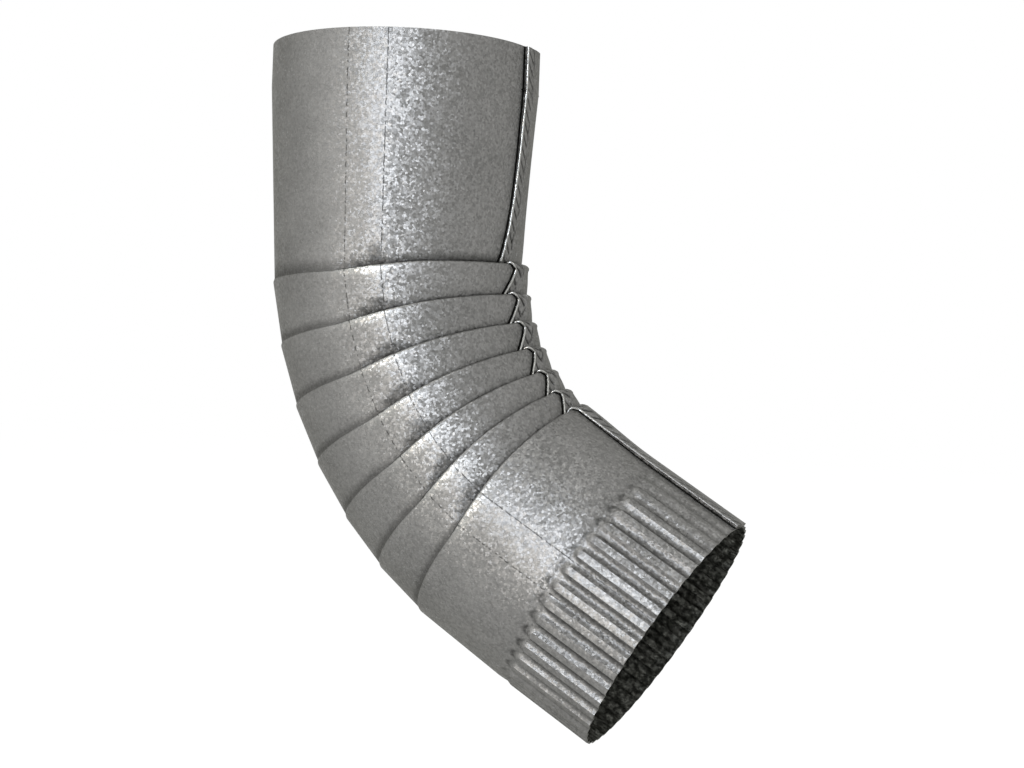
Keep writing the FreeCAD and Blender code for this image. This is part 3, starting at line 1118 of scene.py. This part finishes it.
@dataclass
class SeamBead:
    """The rolled edge of the lock seam: a bead with a painted highlight along it, which hooks over each lip.
    """

    seam: SeamLine
    steel: bpy.types.Material
    plan: RowPlan = field(default_factory=lambda: RowPlan(6, 40, 2, 4, 2, 14, 18, 24, 30))
    sides: int = 10
    radius: float = 0.36
    height: float = 0.9
    inset: float = 0.05
    lip_start: float = 0.3
    outlet_fade: float = 0.3
    sharp: float = 60.0

    def build(self) -> bpy.types.Object:
        """Makes the bead: one tube for each visible stretch of the seam, all in one mesh.

        A tube is a circle carried along the strip's near edge at a height above the sheet.

        Returns:
            The piece.
        """
        path = self.seam.path
        beside = -2.0  # one millimetre past the near edge, which gives the way across
        rows = self.seam.rows(np.array([-1 + self.inset, beside]), self.plan)
        high = rows.off(path.sheet / 2 + self.height * rows.seam)
        side = high[:, 1] - high[:, 0]
        side = side / np.linalg.norm(side, axis=-1, keepdims=True)
        turn = np.arange(self.sides) / self.sides * 2 * math.pi
        ring = side[:, None] * np.cos(turn)[:, None] + rows.normal[:, :1] * np.sin(turn)[:, None]
        points = high[:, :1] + self.radius * ring
        hidden = int(self.plan.lip * self.lip_start)
        faces: list[list[int]] = []
        tubes, polish_and_painted_highlight = [], []
        total = 0
        for number in range(path.pleat_count + 1):
            seen = np.flatnonzero(rows.part[:, 0] == number)[hidden * (number > 0):]
            last = total + (len(seen) - 1) * self.sides
            faces += grid_faces(len(seen), self.sides, total)[:, ::-1].tolist()
            faces.append(list(range(total, total + self.sides)))
            faces.append(list(range(last + self.sides - 1, last - 1, -1)))
            tubes.append(points[seen].reshape(-1, 3))
            # A painted highlight, with a lower roughness, along the bead; it fades out down the outlet.
            fade = smooth(rows.share[seen, 0], 0, self.outlet_fade) * (number == path.pleat_count)
            polish_and_painted_highlight.append(np.repeat(1 - fade, self.sides))
            total = last + self.sides
        marks = {"polish_and_painted_highlight": np.concatenate(polish_and_painted_highlight)}
        return make_piece("seam_bead", np.concatenate(tubes), faces, marks, self.steel, self.sharp)


# Stage

@dataclass
class Lamp:
    """One soft area lamp: where it stands, what it looks at, its size in metres, its power and its tint."""

    name: str
    place: tuple[float, float, float]
    target: tuple[float, float, float]
    size: tuple[float, float]
    power: float
    tint: str = "#ffffff"

    def build(self) -> None:
        """Makes the lamp."""
        light = bpy.data.lights.new(self.name, "AREA")
        light.shape = "RECTANGLE"
        light.size, light.size_y = self.size
        light.energy = self.power
        light.color = linear(self.tint)[:3]
        lamp = bpy.data.objects.new(self.name, light)
        lamp.location = self.place
        away = Vector(self.place) - Vector(self.target)
        lamp.rotation_euler = away.to_track_quat("Z", "Y").to_euler()
        bpy.context.scene.collection.objects.link(lamp)


@dataclass
class Studio:
    """A white studio: floor, world, lamps and the camera at the photograph's angle."""

    paper: str = "#ffffff"
    floor_gap: float = 0.025
    floor_size: float = 6.0
    white_share: float = 0.85
    camera_place: tuple[float, float, float] = (0.20365, -0.48461, -0.09742)
    camera_target: tuple[float, float, float] = (0.0362, 0.0, -0.09521)
    camera_roll: float = 2.108
    lens: float = 63.28
    sensor: float = 36.0
    lamps: tuple[Lamp, ...] = (
        Lamp("key_softbox", (0.12, -0.86, 0.07), (0.02, 0.0, -0.09), (0.14, 0.4), 5.7, "#e8f0ff"),
        Lamp("low_softbox", (-0.12, -0.85, -0.13), (0.02, 0.0, -0.12), (0.2, 0.16), 1.6, "#fff2e4"),
        Lamp("top_softbox", (-0.3, -0.25, 0.9), (0.02, 0.0, -0.09), (0.8, 0.8), 5.0),
        Lamp("left_softbox", (-0.8, -0.75, 0.0), (0.02, 0.0, -0.09), (0.3, 0.7), 1.0),
    )

    def build(self) -> None:
        """Makes everything on the stage."""
        self.build_floor()
        self.build_world()
        for lamp in self.lamps:
            lamp.build()
        self.build_camera()
        bpy.context.scene.view_settings.view_transform = "Standard"

    def build_floor(self) -> None:
        """Makes the floor, a plane under the elbow that shows white and keeps the shadow."""
        level = CAD_BOX[0][2] - self.floor_gap
        half = self.floor_size / 2
        corners = [(-half, -half, level), (half, -half, level), (half, half, level), (-half, half, level)]
        mesh = bpy.data.meshes.new("floor")
        mesh.from_pydata(corners, [], [(0, 1, 2, 3)])
        material = bpy.data.materials.new("white_paper")
        material.use_nodes = True
        tree = material.node_tree
        tree.nodes.clear()
        seen = self.seen_rays(tree)
        paper = add_node(tree, "ShaderNodeBsdfDiffuse", {"Color": linear(self.paper)})
        glow = add_node(tree, "ShaderNodeEmission", {"Color": linear(self.paper), "Strength": 1.0})
        mixed = add_node(tree, "ShaderNodeMixShader", {0: seen, 1: paper.outputs[0], 2: glow.outputs[0]})
        add_node(tree, "ShaderNodeOutputMaterial", {"Surface": mixed.outputs[0]})
        mesh.materials.append(material)
        floor = bpy.data.objects.new("floor", mesh)
        bpy.context.scene.collection.objects.link(floor)

    def seen_rays(self, tree: bpy.types.NodeTree) -> bpy.types.NodeSocket:
        """Share of white for the rays that show the background: camera, glossy or transmission rays.

        Args:
            tree: The node tree that asks.

        Returns:
            The socket that holds the share.
        """
        path = add_node(tree, "ShaderNodeLightPath")
        shiny = add_node(tree, "ShaderNodeMath", {
            0: path.outputs["Is Glossy Ray"], 1: path.outputs["Is Transmission Ray"]}, operation="MAXIMUM")
        seen = add_node(tree, "ShaderNodeMath", {
            0: path.outputs["Is Camera Ray"], 1: shiny.outputs[0]}, operation="MAXIMUM")
        part = add_node(tree, "ShaderNodeMath", {
            0: seen.outputs[0], 1: self.white_share}, operation="MULTIPLY")
        return part.outputs[0]

    @staticmethod
    def build_world() -> None:
        """Makes the world: white to the camera and to reflections, and a plain fill light."""
        world = bpy.data.worlds.new("white_studio")
        world.use_nodes = True
        tree = world.node_tree
        tree.nodes.clear()
        white = add_node(tree, "ShaderNodeBackground", {"Color": (1.0, 1.0, 1.0, 1.0), "Strength": 1.0})
        add_node(tree, "ShaderNodeOutputWorld", {"Surface": white.outputs[0]})
        bpy.context.scene.world = world

    def build_camera(self) -> None:
        """Makes the camera: it looks from its place at its target and is rolled about that line."""
        data = bpy.data.cameras.new("camera")
        data.lens = self.lens
        data.sensor_width = self.sensor
        camera = bpy.data.objects.new("camera", data)
        away = Vector(self.camera_place) - Vector(self.camera_target)
        roll = Matrix.Rotation(math.radians(self.camera_roll), 3, "Z")
        turn = away.to_track_quat("Z", "Y").to_matrix() @ roll
        camera.matrix_world = Matrix.Translation(self.camera_place) @ turn.to_4x4()
        bpy.context.scene.collection.objects.link(camera)
        bpy.context.scene.camera = camera


def main() -> None:
    """Builds the elbow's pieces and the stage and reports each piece."""
    logging.basicConfig(level=logging.INFO, format="%(name)s %(message)s")
    path = SheetPath()
    steel = GalvanisedSteel().build()
    seam = SeamLine(path)
    for part in (PleatedSheet(path, seam, steel), LockSeam(seam, steel), SeamBead(seam, steel)):
        piece = part.build()
        LOG.info("%s: %d points, %d faces", piece.name, len(piece.data.vertices), len(piece.data.polygons))
    Studio().build()


if __name__ == "__main__":
    main()
